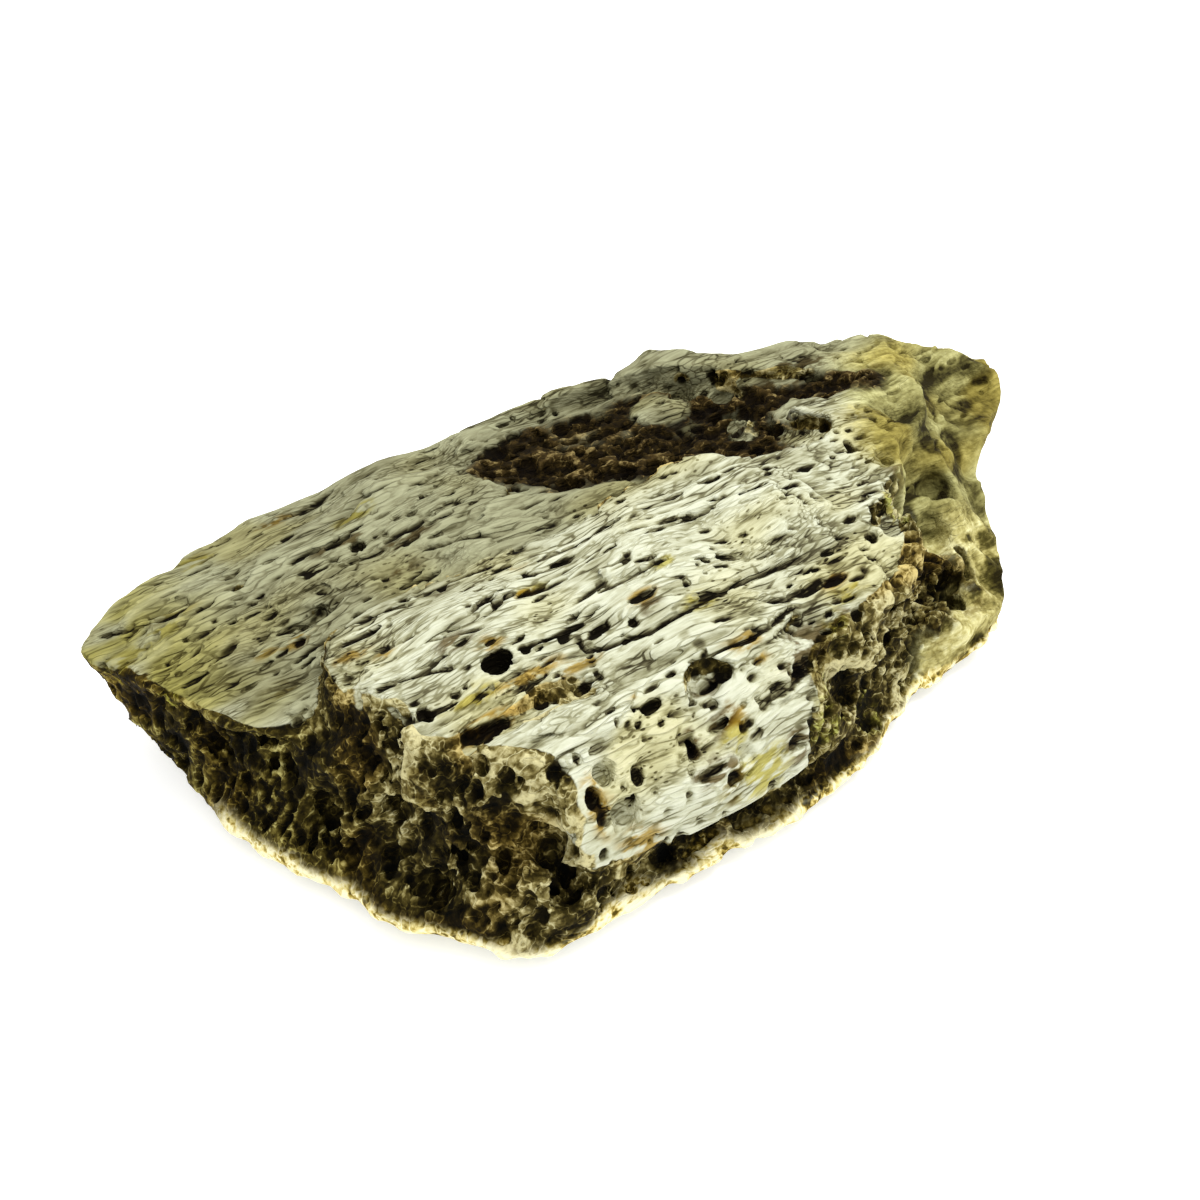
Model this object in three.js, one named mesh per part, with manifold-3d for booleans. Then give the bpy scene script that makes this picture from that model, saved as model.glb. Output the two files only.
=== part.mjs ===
// A broken piece of fossil bone from a horned dinosaur: a hand-sized chip of a flat skull bone,
// about 80 mm long, 45 mm wide and 17 mm thick. It has turned to stone and is one solid.
// The grain of the bone runs along X. The pale outer skin of the bone is on top, in two levels: a
// raised slab along the front and a lower shelf behind it on the left. A trough is broken out of the
// back of the slab. The ends and the back are rough breaks through the spongy middle of the bone.
// Millimetres, +Z up. The origin is under the middle of the piece, on the surface that it rests on.
import * as THREE from "three";
import { mergeVertices } from "three/addons/utils/BufferGeometryUtils.js";
import Module from "manifold-3d";

const wasm = await Module();
wasm.setup();

// Driving dimensions.
const GRID = 2.2; // spacing of the points on the top surfaces
const UNDERSIDE_GRID = 3.6;
const WALL_POINTS = 94; // points round the outside of the piece
const SLAB_POINTS = 74; // points round the raised slab
const TROUGH_POINTS = 48;
const LOW = -6; // levels below and above the whole piece
const HIGH = 24;
const REST_CENTRE = [-4, -7.5]; // the small flat spot that the piece rests on
const REST_RADII = [12, 7.5];
const RIM_LIFT = 1.3; // how far the underside's rim stands off the surface
const EDGE_LEVEL = 13; // the heights of the two outlines that the outside runs between
const BASE_LEVEL = 1;
const SHELF_RELIEF = { grain: 0.3, lumps: 0.25 }; // how far the ridges and lumps rise and sink
const SLAB_RELIEF = { grain: 0.35, lumps: 0.15 };
const SLAB_RAGGEDNESS = 0.5;
const SLAB_SPREAD = 0.3; // how much the slab's broken ends lean out per millimetre of depth
const UNDERSIDE_LUMPS = 0.35;
const HOLLOW_UNEVENNESS = 0.3; // as a share of a hollow's radius

// Stations round the outside, anticlockwise from the left tip: x and y of the upper edge, x and y of
// the foot, how rough the break is there, and how far it is hollowed out between edge and foot.
const STATIONS = [
  [-40.9, 5.9, -36.4, 4.6, 0.5, 0],
  [-39.6, 1.6, -36.5, 0.2, 1.2, -0.1],
  [-37.8, -2.2, -36.7, -3.8, 1.4, 0.9],
  [-35.8, -6.2, -36.5, -7.4, 1.5, 1.4],
  [-33.9, -10.0, -35.3, -11.2, 1.7, 1.6],
  [-32.4, -13.6, -34.1, -14.8, 1.7, 1.3],
  [-31.0, -17.0, -33.1, -18.1, 1.9, 1.2],
  [-29.2, -20.6, -31.1, -21.8, 1.9, 1.0],
  [-27.0, -23.6, -28.8, -24.9, 1.7, 0.9],
  [-24.2, -26.6, -26.2, -27.9, 1.5, 0.7],
  [-21.4, -28.0, -22.9, -28.9, 0.5, 0.1],
  [-14.0, -28.4, -15.0, -28.6, 0.2, 0],
  [-8.0, -28.4, -8.0, -29.1, 0.2, 0],
  [-3.4, -28.0, -2.4, -28.6, 0.4, 0.2],
  [2.0, -26.6, 3.0, -27.0, 1.5, 0.5],
  [8.0, -25.0, 8.4, -25.5, 1.7, 0.5],
  [14.0, -24.3, 13.6, -24.6, 1.4, 0.3],
  [19.4, -24.4, 17.8, -23.6, 0.5, 0.2],
  [24.8, -23.9, 21.8, -22.2, 0.5, -0.2],
  [28.0, -19.8, 24.8, -18.2, 0.5, 0.1],
  [30.0, -15.5, 27.2, -14.8, 0.5, 0.2],
  [31.5, -11.8, 28.8, -12.2, 0.4, 0.2],
  [36.4, -9.0, 33.0, -9.2, 0.5, 0.1],
  [41.1, -5.6, 36.0, -5.5, 0.4, 0],
  [41.1, -2.4, 37.0, -1.5, 0.4, 0],
  [36.2, -0.4, 36.0, 2.8, 0.4, 0.4],
  [29.5, 2.5, 30.0, 6.2, 0.5, 0.8],
  [24.0, 3.9, 24.0, 8.2, 0.6, 1.0],
  [18.3, 4.9, 18.5, 9.2, 1.2, 1.2],
  [14.0, 6.9, 14.0, 10.7, 1.4, 1.2],
  [8.6, 9.2, 8.5, 12.7, 1.5, 1.3],
  [3.3, 10.2, 3.0, 14.2, 1.5, 1.4],
  [-3.0, 10.8, -4.0, 15.2, 1.5, 1.4],
  [-10.6, 11.5, -11.0, 16.0, 1.3, 1.3],
  [-19.0, 12.3, -19.0, 16.2, 1.3, 1.1],
  [-28.6, 11.7, -26.0, 15.4, 1.2, 0.8],
  [-34.4, 10.0, -31.0, 12.0, 0.6, 0.5],
  [-39.0, 8.2, -34.6, 8.6, 0.5, 0.3],
];

// Heights of the lower level of the top, as x, y and z of single spots.
const SHELF_HEIGHTS = [
  [-39.5, 5.5, 10.6],
  [-37.2, -2.0, 11.0],
  [-35.2, -6.5, 11.5],
  [-33.0, -9.5, 11.0],
  [-29.5, -9.8, 12.0],
  [-33.4, -12.6, 8.4],
  [-30.2, -13.6, 11.8],
  [-31.8, -18.0, 8.0],
  [-29.3, -17.6, 11.4],
  [-28.9, -22.6, 7.8],
  [-26.6, -22.0, 11.0],
  [-23.6, -26.8, 9.0],
  [-33.0, 3.0, 12.0],
  [-30.0, 12.0, 10.6],
  [-20.0, 12.5, 11.2],
  [-24.0, 2.0, 13.0],
  [-23.0, -6.0, 13.3],
  [-14.0, 5.0, 13.7],
  [-10.6, 11.7, 12.4],
  [-12.0, -4.0, 14.8],
  [-3.0, 10.4, 13.4],
  [-4.0, 2.0, 15.0],
  [5.0, 9.6, 14.6],
  [13.0, 7.0, 15.3],
  [6.0, -2.0, 16.0],
  [20.0, 4.5, 14.6],
  [17.0, -4.0, 15.3],
  [29.5, 2.2, 13.4],
  [26.0, -5.0, 13.9],
  [36.0, -1.0, 11.6],
  [40.5, -3.0, 9.6],
  [37.0, -7.0, 8.2],
  [31.0, -9.0, 9.2],
  [24.0, -11.0, 12.4],
  [29.0, -13.0, 7.2],
  [28.0, -16.0, 5.2],
  [22.0, -15.6, 9.6],
  [24.5, -19.5, 4.3],
  [21.5, -22.0, 3.3],
  [18.0, -19.0, 8.0],
  [18.0, -23.2, 4.0],
  [13.4, -21.8, 8.4],
  [13.4, -24.2, 5.0],
  [8.0, -24.8, 7.4],
  [3.4, -26.4, 7.6],
  [-4.0, -28.0, 8.0],
  [-15.0, -28.4, 8.0],
];

// Heights of the raised slab. In front of its shoulder it bends down into the front of the piece.
const SLAB_HEIGHTS = [
  [-28.8, -9.6, 15.0],
  [-28.5, -14.0, 15.5],
  [-28.5, -19.4, 14.9],
  [-24.6, -23.4, 14.8],
  [-20.0, -22.5, 15.4],
  [-20.0, -12.0, 16.3],
  [-20.0, -7.0, 14.9],
  [-14.0, -24.5, 14.9],
  [-11.0, -7.5, 15.4],
  [-8.0, -16.0, 17.2],
  [-6.0, -23.0, 15.4],
  [0.0, -24.6, 13.9],
  [0.0, -6.5, 16.2],
  [3.0, -15.0, 17.3],
  [5.0, -21.6, 14.6],
  [9.6, -22.8, 12.4],
  [10.0, -18.0, 15.0],
  [10.0, -7.0, 16.5],
  [16.0, -14.5, 14.6],
  [19.0, -7.0, 15.7],
  [23.0, -9.5, 13.9],
  [26.5, -6.0, 13.9],
];
const SHOULDER_FRONT = -23.8;
const SHOULDER_BEND = 0.6; // how fast the front falls away beyond the shoulder

// The plan of the raised slab, anticlockwise: its broken left end, the front, where it runs past the
// outside of the piece, its broken right end, and the long step at the back.
const SLAB_PLAN = [
  [-27.6, -7.2],
  [-29.3, -9.9],
  [-29.9, -12.4],
  [-28.9, -14.6],
  [-28.4, -17.6],
  [-28.8, -19.5],
  [-27.2, -20.8],
  [-26.3, -22.6],
  [-24.6, -23.8],
  [-23.0, -24.9],
  [-22.2, -26.6],
  [-22.6, -32.0],
  [-14.0, -33.0],
  [-3.4, -32.0],
  [-2.6, -28.0],
  [-2.8, -26.2],
  [-0.6, -24.4],
  [2.8, -25.2],
  [5.8, -24.9],
  [8.8, -23.7],
  [11.6, -21.6],
  [12.8, -20.4],
  [12.2, -18.4],
  [14.0, -16.2],
  [17.0, -14.6],
  [18.8, -12.0],
  [22.4, -10.8],
  [25.8, -8.4],
  [27.4, -5.6],
  [24.0, -5.2],
  [17.0, -6.0],
  [8.0, -6.4],
  [-2.0, -6.6],
  [-10.0, -7.6],
  [-16.0, -6.8],
  [-22.0, -6.2],
];

// The plan of the trough behind the slab.
const TROUGH_PLAN = [
  [-9.5, 4.9],
  [-8.4, 1.0],
  [-8.0, -1.0],
  [-5.2, -3.5],
  [-2.4, -4.1],
  [1.9, -6.1],
  [5.0, -7.8],
  [7.5, -10.0],
  [10.7, -10.6],
  [14.4, -9.5],
  [15.6, -8.2],
  [13.6, -6.6],
  [12.9, -4.6],
  [15.4, -3.8],
  [17.8, -5.2],
  [20.8, -6.3],
  [24.3, -5.9],
  [26.9, -3.8],
  [24.2, -1.2],
  [19.7, 0.4],
  [16.4, 2.0],
  [13.4, 4.0],
  [10.5, 5.7],
  [7.7, 7.2],
  [2.6, 8.4],
  [-2.0, 9.2],
  [-6.1, 8.5],
  [-9.0, 6.5],
];
const TROUGH_FLOOR = 12.8; // its height at the back
const TROUGH_RISE = 0.08; // how fast it rises to the front
const TROUGH_LUMPS = 0.8;
const TROUGH_RAGGEDNESS = 0.45;
const ISLAND = { x: 7.8, y: 2.6, radius: 2.2, rise: 1.1 }; // a patch of skin left standing in it

// The groove low along the front, with a thin ledge of the bone's inner skin under it.
const GROOVE_FROM = -22;
const GROOVE_TO = 0;
const GROOVE_LEVEL = 3.4;
const GROOVE_DEPTH = 1.8;
const WALL_LEVELS = [LOW, 0.6, 1.9, 2.7, 3.9, 5.2, 7.0, 9.2, 11.4, 14, HIGH];

// The larger pits in the bone: x, y, z of the middle, then length along the grain, width and height.
const PITS = [
  [-21.2, -17.4, 16.2, 2.6, 2.0, 3.0], // the round hole on the slab
  [-20.4, -21.5, 15.3, 11.5, 1.8, 2.6], // the long slot that reaches the slab's left end
  [-26.2, -21.4, 14.6, 3.6, 1.9, 2.8],
  [-21.0, -12.9, 16.2, 4.6, 1.3, 1.6],
  [-12.0, -11.2, 16.2, 5.0, 1.3, 1.6],
  [-9.4, -16.8, 17.2, 4.2, 1.3, 1.7],
  [-7.2, -21.0, 16.4, 5.0, 1.2, 1.6],
  [4.4, -12.6, 17.2, 4.6, 1.2, 1.6],
  [9.6, -17.0, 15.6, 4.2, 1.3, 1.7],
  [8.4, -19.8, 14.8, 4.2, 1.4, 1.8],
  [3.8, -21.6, 15.0, 4.4, 1.4, 1.8],
  [-0.4, -18.6, 16.8, 5.0, 1.2, 1.6],
  [-10.4, -25.0, 13.9, 3.6, 2.6, 2.6],
  [-14.5, -24.8, 14.4, 4.2, 1.6, 2.2],
  [-19.6, -26.4, 12.2, 2.2, 1.8, 2.4],
  [-19.0, -27.8, 9.6, 2.4, 1.8, 2.4],
  [-9.4, -28.2, 9.4, 1.8, 1.6, 1.8],
  [-27.4, -2.6, 12.5, 5.2, 1.5, 1.7],
  [-19.4, 6.8, 12.8, 8.0, 1.4, 1.5],
  [-23.0, 9.6, 12.0, 5.2, 1.3, 1.5],
  [-33.4, 5.6, 11.7, 5.4, 1.5, 1.7],
  [-14.0, -1.4, 14.4, 5.4, 1.4, 1.6],
  [-33.0, -3.4, 12.0, 4.0, 1.3, 1.5],
  [11.6, 4.4, 13.2, 2.8, 2.2, 3.4], // holes that go on down in the trough
  [14.2, 2.2, 13.2, 3.0, 2.4, 3.4],
  [12.6, -1.2, 13.4, 3.4, 2.4, 3.2],
  [11.4, -3.6, 13.6, 2.8, 1.8, 2.6],
];

// Deep hollows in the broken ends and sides, as x, y, z and radius.
const HOLLOWS = [
  [-36.2, -4.4, 6.4, 1.9],
  [-34.6, -8.8, 8.2, 2.0],
  [-32.8, -13.2, 5.6, 1.8],
  [-30.4, -18.2, 8.0, 1.7],
  [-29.4, -21.6, 4.4, 1.4],
  [-28.2, -23.2, 6.8, 1.3],
  [-26.1, -25.2, 7.4, 1.3],
  [-23.8, -26.6, 8.6, 1.9],
  [-23.4, -27.8, 5.4, 1.6],
  [1.8, -26.6, 7.6, 2.0],
  [5.4, -26.2, 6.2, 1.7],
  [7.6, -24.6, 9.4, 1.8],
  [11.2, -23.4, 7.4, 2.2],
  [14.4, -21.6, 8.0, 2.2],
  [17.4, -21.2, 6.0, 1.9],
  [19.4, -17.4, 8.2, 2.1],
  [22.4, -14.0, 9.2, 1.7],
  [33.6, -9.0, 5.4, 1.8],
  [22.0, 6.0, 7.4, 2.4],
  [9.0, 10.6, 7.0, 2.3],
  [-6.0, 13.2, 6.4, 2.6],
  [-17.0, 14.6, 7.8, 2.2],
];

// Scars where chips came off: x, y, z, then length, width and height, and the turn about Z.
const SCARS = [
  [-18.6, -23.8, 15.9, 7.0, 2.6, 1.8, 4],
  [-0.6, -24.8, 14.0, 5.4, 3.2, 3.0, -12],
  [11.4, -19.8, 14.6, 4.6, 3.0, 3.2, 40],
  [17.2, -13.6, 14.8, 5.0, 3.0, 2.8, 22],
  [23.0, -9.4, 14.3, 5.0, 2.6, 2.6, 14],
  [-29.2, -11.6, 15.4, 2.6, 3.4, 2.8, 24],
  [-28.6, -17.0, 15.4, 2.4, 3.2, 3.0, -20],
  [-36.0, 9.8, 11.8, 6.0, 2.8, 2.0, 28],
  [27.6, 1.4, 13.9, 8.0, 2.8, 2.0, -14],
  [-31.4, -15.4, 9.6, 2.6, 3.6, 2.8, 10],
  [34.0, -5.0, 11.0, 7.0, 2.0, 2.2, -8],
];
const NOTCH = [-12.0, -27.2, 12.2, 3.8, 3.4, 2.0]; // the angular one in the front
const NOTCH_TURN = [-16, 58]; // degrees about Z, then about X

// Smooth noise from 0 to 1 that is the same on each run.
function corner(i, j, k) {
  const n = Math.sin(i * 127.1 + j * 311.7 + k * 74.7) * 43758.5453;
  return n - Math.floor(n);
}

function noise(x, y, z) {
  const [i, j, k] = [Math.floor(x), Math.floor(y), Math.floor(z)];
  const ease = (t) => t * t * (3 - 2 * t);
  const [u, v, w] = [ease(x - i), ease(y - j), ease(z - k)];
  const mix = THREE.MathUtils.lerp;
  const row = (b, c) => mix(corner(i, j + b, k + c), corner(i + 1, j + b, k + c), u);
  return mix(mix(row(0, 0), row(1, 0), v), mix(row(0, 1), row(1, 1), v), w);
}

// Noise from -1 to 1 in two sizes, with the larger about size millimetres across.
function lumps(x, y, z, size) {
  const coarse = noise(x / size, y / size, z / size);
  const fine = noise((2.3 * x) / size + 9, (2.3 * y) / size, (2.3 * z) / size);
  return 1.4 * coarse + 0.6 * fine - 1;
}

// Ridges and furrows of the grain, from -1 to 1, which run along X.
function grain(x, y) {
  return 1.2 * noise(x / 11, y / 1.9, 3) + 0.8 * noise(x / 6, y / 3.7, 8) - 1;
}

// A smooth surface through surveyed heights: each spot counts by its nearness.
function surveyed(spots) {
  return (x, y) => {
    let sum = 0;
    let total = 0;
    for (const [sx, sy, sz] of spots) {
      const nearness = 1 / (((x - sx) ** 2 + (y - sy) ** 2 + 2) ** 2.2);
      sum += nearness * sz;
      total += nearness;
    }
    return sum / total;
  };
}

// The triangles of a geometry as a solid, and a solid as a geometry.
function solidOf(geometry) {
  const bare = new THREE.BufferGeometry();
  bare.setAttribute("position", geometry.getAttribute("position"));
  bare.setIndex(geometry.getIndex());
  const merged = mergeVertices(bare, 1e-4);
  const vertProperties = new Float32Array(merged.getAttribute("position").array);
  const triVerts = new Uint32Array(merged.getIndex().array);
  return new wasm.Manifold(new wasm.Mesh({ numProp: 3, vertProperties, triVerts }));
}

function geometryOf(solid) {
  const mesh = solid.getMesh();
  const geometry = new THREE.BufferGeometry();
  geometry.setAttribute("position", new THREE.BufferAttribute(mesh.vertProperties, 3));
  geometry.setIndex(new THREE.BufferAttribute(mesh.triVerts, 1));
  return geometry;
}

function meshSolid(points, triangles) {
  const geometry = new THREE.BufferGeometry();
  geometry.setAttribute("position", new THREE.Float32BufferAttribute(points.flat(), 3));
  geometry.setIndex(triangles.flat());
  return solidOf(geometry);
}

// All that lies between the surface z = height(x, y) and the level z = end.
function terrain(height, end, spacing) {
  const reach = { left: -46, right: 46, front: -36, back: 22 };
  const columns = Math.round((reach.right - reach.left) / spacing);
  const rows = Math.round((reach.back - reach.front) / spacing);
  const points = [];
  const triangles = [];
  for (let r = 0; r <= rows; r += 1) {
    for (let c = 0; c <= columns; c += 1) {
      const x = THREE.MathUtils.lerp(reach.left, reach.right, c / columns);
      const y = THREE.MathUtils.lerp(reach.front, reach.back, r / rows);
      points.push([x, y, height(x, y)]);
    }
  }
  const at = (c, r) => r * (columns + 1) + c;
  for (let r = 0; r < rows; r += 1) {
    for (let c = 0; c < columns; c += 1) {
      const [a, b, d, e] = [at(c, r), at(c + 1, r), at(c + 1, r + 1), at(c, r + 1)];
      triangles.push(...((r + c) % 2 ? [[a, b, d], [a, d, e]] : [[a, b, e], [b, d, e]]));
    }
  }
  const border = [];
  for (let c = 0; c < columns; c += 1) border.push(at(c, 0));
  for (let r = 0; r < rows; r += 1) border.push(at(columns, r));
  for (let c = columns; c > 0; c -= 1) border.push(at(c, rows));
  for (let r = rows; r > 0; r -= 1) border.push(at(0, r));
  const first = points.length;
  for (const i of border) points.push([points[i][0], points[i][1], end]);
  const middle = points.length;
  points.push([0, (reach.front + reach.back) / 2, end]);
  border.forEach((i, n) => {
    const next = (n + 1) % border.length;
    triangles.push([i, first + n, first + next], [i, first + next, border[next]]);
    triangles.push([first + n, middle, first + next]);
  });
  if (end > height(0, 0)) triangles.forEach((t) => t.reverse());
  return meshSolid(points, triangles);
}

// A solid with rough sides through closed loops of points, from the lowest loop to the highest.
function loft(loops) {
  const count = loops[0].length;
  const points = loops.flat();
  const triangles = [];
  for (let k = 0; k + 1 < loops.length; k += 1) {
    for (let i = 0; i < count; i += 1) {
      const [a, b] = [k * count + i, k * count + ((i + 1) % count)];
      triangles.push([a, b, b + count], [a, b + count, a + count]);
    }
  }
  const cap = (loop) =>
    THREE.ShapeUtils.triangulateShape(loop.map(([x, y]) => new THREE.Vector2(x, y)), []);
  for (const t of cap(loops[0])) triangles.push([...t].reverse());
  const top = (loops.length - 1) * count;
  for (const t of cap(loops.at(-1))) triangles.push(t.map((i) => i + top));
  return meshSolid(points, triangles);
}

// Evenly spaced points on a smooth closed curve through the given ones.
function closedCurve(points, count, tension) {
  const through = points.map(([x, y, z = 0]) => new THREE.Vector3(x, y, z));
  const curve = new THREE.CatmullRomCurve3(through, true, "catmullrom", tension);
  return curve.getPoints(count).slice(0, count);
}

// Moves each point of a loop outwards, square to the loop in plan, by push(point).
function pushedOut(loop, push) {
  return loop.map((p, i) => {
    const before = loop.at(i - 1);
    const after = loop[(i + 1) % loop.length];
    const along = new THREE.Vector2(after[0] - before[0], after[1] - before[1]).normalize();
    const out = push(p, i);
    return [p[0] + along.y * out, p[1] - along.x * out, p[2]];
  });
}

// The outside of the piece: all that lies within its rough ends, front and back.
function outside() {
  const { smoothstep, clamp } = THREE.MathUtils;
  const curveOf = (pick) => closedCurve(STATIONS.map(pick), WALL_POINTS, 0.5);
  const edge = curveOf((s) => [s[0], s[1], s[4]]);
  const foot = curveOf((s) => [s[2], s[3], s[5]]);
  const loops = WALL_LEVELS.map((level) => {
    const share = clamp((level - BASE_LEVEL) / (EDGE_LEVEL - BASE_LEVEL), -0.1, 1.2);
    const hollowing = smoothstep(level, 1.9, 3.6) * (1 - smoothstep(level, 8, 12));
    const inGroove = Math.exp(-(((level - GROOVE_LEVEL) / 1.1) ** 4));
    const plain = edge.map((e, i) => {
      const p = foot[i].clone().lerp(e, share);
      return [p.x, p.y, level];
    });
    return pushedOut(plain, ([x, y, z], i) => {
      const opens = smoothstep(x, GROOVE_FROM, GROOVE_FROM + 3);
      const closes = smoothstep(x, GROOVE_TO - 4, GROOVE_TO);
      const groove = y < -20 ? GROOVE_DEPTH * opens * (1 - closes) * inGroove : 0;
      return edge[i].z * lumps(x, y, 1.3 * z, 4) - groove - foot[i].z * hollowing;
    });
  });
  return loft(loops);
}

// A block with the given plan, whose ragged sides lean out a little towards the bottom.
function raggedBlock(plan, count, raggedness, lean) {
  const curve = closedCurve(plan, count, 0.35);
  const loops = [LOW, EDGE_LEVEL - 1, EDGE_LEVEL + 2, HIGH].map((level) => {
    const plain = curve.map((p) => [p.x, p.y, level]);
    const spread = THREE.MathUtils.clamp(EDGE_LEVEL + 2 - level, -1, 3) * lean;
    return pushedOut(plain, ([x, y, z]) => raggedness * lumps(x, y, 0.5 * z, 2.6) + spread);
  });
  return loft(loops);
}

function shelfTop() {
  const height = surveyed(SHELF_HEIGHTS);
  const relief = (x, y) => SHELF_RELIEF.grain * grain(x, y) + SHELF_RELIEF.lumps * lumps(x, y, 0, 4);
  return terrain((x, y) => height(x, y) + relief(x, y), LOW, GRID);
}

function slabTop() {
  const height = surveyed(SLAB_HEIGHTS);
  const relief = (x, y) => SLAB_RELIEF.grain * grain(x, y + 30) + SLAB_RELIEF.lumps * lumps(x, y, 20, 5);
  const bend = (y) => SHOULDER_BEND * Math.max(0, SHOULDER_FRONT - y) ** 1.5;
  return terrain((x, y) => height(x, y) + relief(x, y) - bend(y), LOW, GRID);
}

// The underside bulges down to the small flat spot, where a level cut ends it.
function underside() {
  const belly = (x, y) => {
    const dx = (x - REST_CENTRE[0]) / REST_RADII[0];
    const dy = (y - REST_CENTRE[1]) / REST_RADII[1];
    const away = Math.max(0, Math.hypot(dx, dy) - 1);
    const rise = RIM_LIFT * (1 - Math.exp(-1.6 * away * away));
    return Math.max(0, rise + UNDERSIDE_LUMPS * lumps(x, y, 40, 7) * Math.min(1, 2 * away));
  };
  return terrain(belly, HIGH, UNDERSIDE_GRID);
}

function trough() {
  const island = (x, y) => {
    const away = Math.hypot(x - ISLAND.x, y - ISLAND.y) / ISLAND.radius;
    return ISLAND.rise * Math.exp(-(away ** 4));
  };
  const back = TROUGH_PLAN.at(-3)[1];
  const floor = (x, y) =>
    TROUGH_FLOOR + TROUGH_RISE * (back - y) + TROUGH_LUMPS * lumps(x, y, 60, 3.4) + island(x, y);
  const plan = raggedBlock(TROUGH_PLAN, TROUGH_POINTS, TROUGH_RAGGEDNESS, 0);
  return plan.intersect(terrain(floor, HIGH, GRID));
}

function pit([x, y, z, length, width, height]) {
  const ball = new THREE.SphereGeometry(0.5, 7, 4);
  ball.rotateY(Math.PI / 2).scale(length, width, height).translate(x, y, z);
  return solidOf(ball);
}

function hollow([x, y, z, radius]) {
  const ball = new THREE.IcosahedronGeometry(radius, 1);
  const spots = ball.getAttribute("position");
  const spot = new THREE.Vector3();
  for (let i = 0; i < spots.count; i += 1) {
    spot.fromBufferAttribute(spots, i);
    spot.multiplyScalar(1 + HOLLOW_UNEVENNESS * lumps(spot.x + x, spot.y + y, spot.z + z, 1.7));
    spots.setXYZ(i, spot.x + x, spot.y + y, spot.z + z);
  }
  return solidOf(ball);
}

function scar([x, y, z, length, width, height, turn]) {
  const block = new THREE.DodecahedronGeometry(0.5, 0).rotateX(x).scale(length, width, height);
  return solidOf(block.rotateZ(THREE.MathUtils.degToRad(turn)).translate(x, y, z));
}

function notch([x, y, z, length, width, height], [turn, tilt]) {
  const block = new THREE.BoxGeometry(length, width, height);
  block.rotateZ(THREE.MathUtils.degToRad(turn)).rotateX(THREE.MathUtils.degToRad(tilt));
  return solidOf(block.translate(x, y, z));
}

function boneSolid() {
  const slabSides = raggedBlock(SLAB_PLAN, SLAB_POINTS, SLAB_RAGGEDNESS, SLAB_SPREAD);
  const slab = slabSides.intersect(slabTop());
  let bone = shelfTop().add(slab).intersect(outside()).intersect(underside());
  bone = bone.subtract(trough()).subtract(notch(NOTCH, NOTCH_TURN));
  const cuts = [...PITS.map(pit), ...HOLLOWS.map(hollow), ...SCARS.map(scar)];
  for (const cut of cuts) bone = bone.subtract(cut);
  return bone;
}

const geometry = geometryOf(boneSolid());
geometry.computeBoundingBox();
const middle = geometry.boundingBox.getCenter(new THREE.Vector3());
geometry.translate(-middle.x, -middle.y, -geometry.boundingBox.min.z);
geometry.computeVertexNormals();

const fossil = new THREE.MeshStandardMaterial({ color: 0xb3ad8c, roughness: 0.85, metalness: 0 });
const bone = new THREE.Mesh(geometry, fossil);
bone.name = "bone_fragment";

const part = new THREE.Group();
part.add(bone);
export default part;
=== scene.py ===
"""A broken, flat piece of fossil triceratops bone, lying on a plain pale surface.

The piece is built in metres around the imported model. Sizes in the sections are in millimetres where a
name says mm, because the pores and grain of the bone are finer than a millimetre.
"""

import math

import bpy
import numpy as np
import openvdb
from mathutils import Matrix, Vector


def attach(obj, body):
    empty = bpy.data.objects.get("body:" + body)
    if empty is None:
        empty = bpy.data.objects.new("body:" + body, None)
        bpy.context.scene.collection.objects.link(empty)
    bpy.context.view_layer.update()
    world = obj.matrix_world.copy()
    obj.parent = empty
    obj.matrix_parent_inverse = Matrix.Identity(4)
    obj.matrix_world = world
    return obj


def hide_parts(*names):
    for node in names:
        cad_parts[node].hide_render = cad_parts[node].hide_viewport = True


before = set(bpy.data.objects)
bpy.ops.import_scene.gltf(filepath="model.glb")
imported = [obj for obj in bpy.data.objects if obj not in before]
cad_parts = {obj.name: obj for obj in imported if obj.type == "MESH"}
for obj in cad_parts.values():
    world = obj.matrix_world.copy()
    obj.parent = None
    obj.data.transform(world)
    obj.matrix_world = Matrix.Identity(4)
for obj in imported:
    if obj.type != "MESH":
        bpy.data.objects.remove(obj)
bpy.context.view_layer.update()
MM = 0.001

# The camera: a hand-held close-up that looks down at the front left corner of the piece. The focal
# length is for a square picture.
LOOKS_AT_MM = Vector((-0.19, 6.30, 0.0))
CAMERA_DISTANCE_MM = 137.7
CAMERA_HEADING = math.radians(37)
CAMERA_PITCH = math.radians(38)

level_way = Vector((math.sin(CAMERA_HEADING), math.cos(CAMERA_HEADING), 0))
way_back = Vector((0, 0, math.sin(CAMERA_PITCH))) - level_way * math.cos(CAMERA_PITCH)
camera = bpy.data.objects.new("camera", bpy.data.cameras.new("camera"))
camera.data.lens = 51
camera.data.clip_start = 0.005
camera.location = (LOOKS_AT_MM + way_back * CAMERA_DISTANCE_MM) * MM
camera.rotation_euler = (-way_back).to_track_quat("-Z", "Y").to_euler()
bpy.context.scene.collection.objects.link(camera)
bpy.context.scene.camera = camera

# The bone: one piece of turned-to-stone bone. Canals run through it along its grain, X, so the skin
# shows them as slots and the broken ends show them as round holes. Its solid is turned into a field
# of depths on a fine grid, the canals, grain and crumbly breaks are cut into that, and the skin of
# the field is the mesh.
VOXEL_MM = 0.2
BAND_MM = 3.2  # how far from the solid's surface the field is known
MOST_TRIANGLES = 192000
dice = np.random.default_rng(3261)

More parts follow.
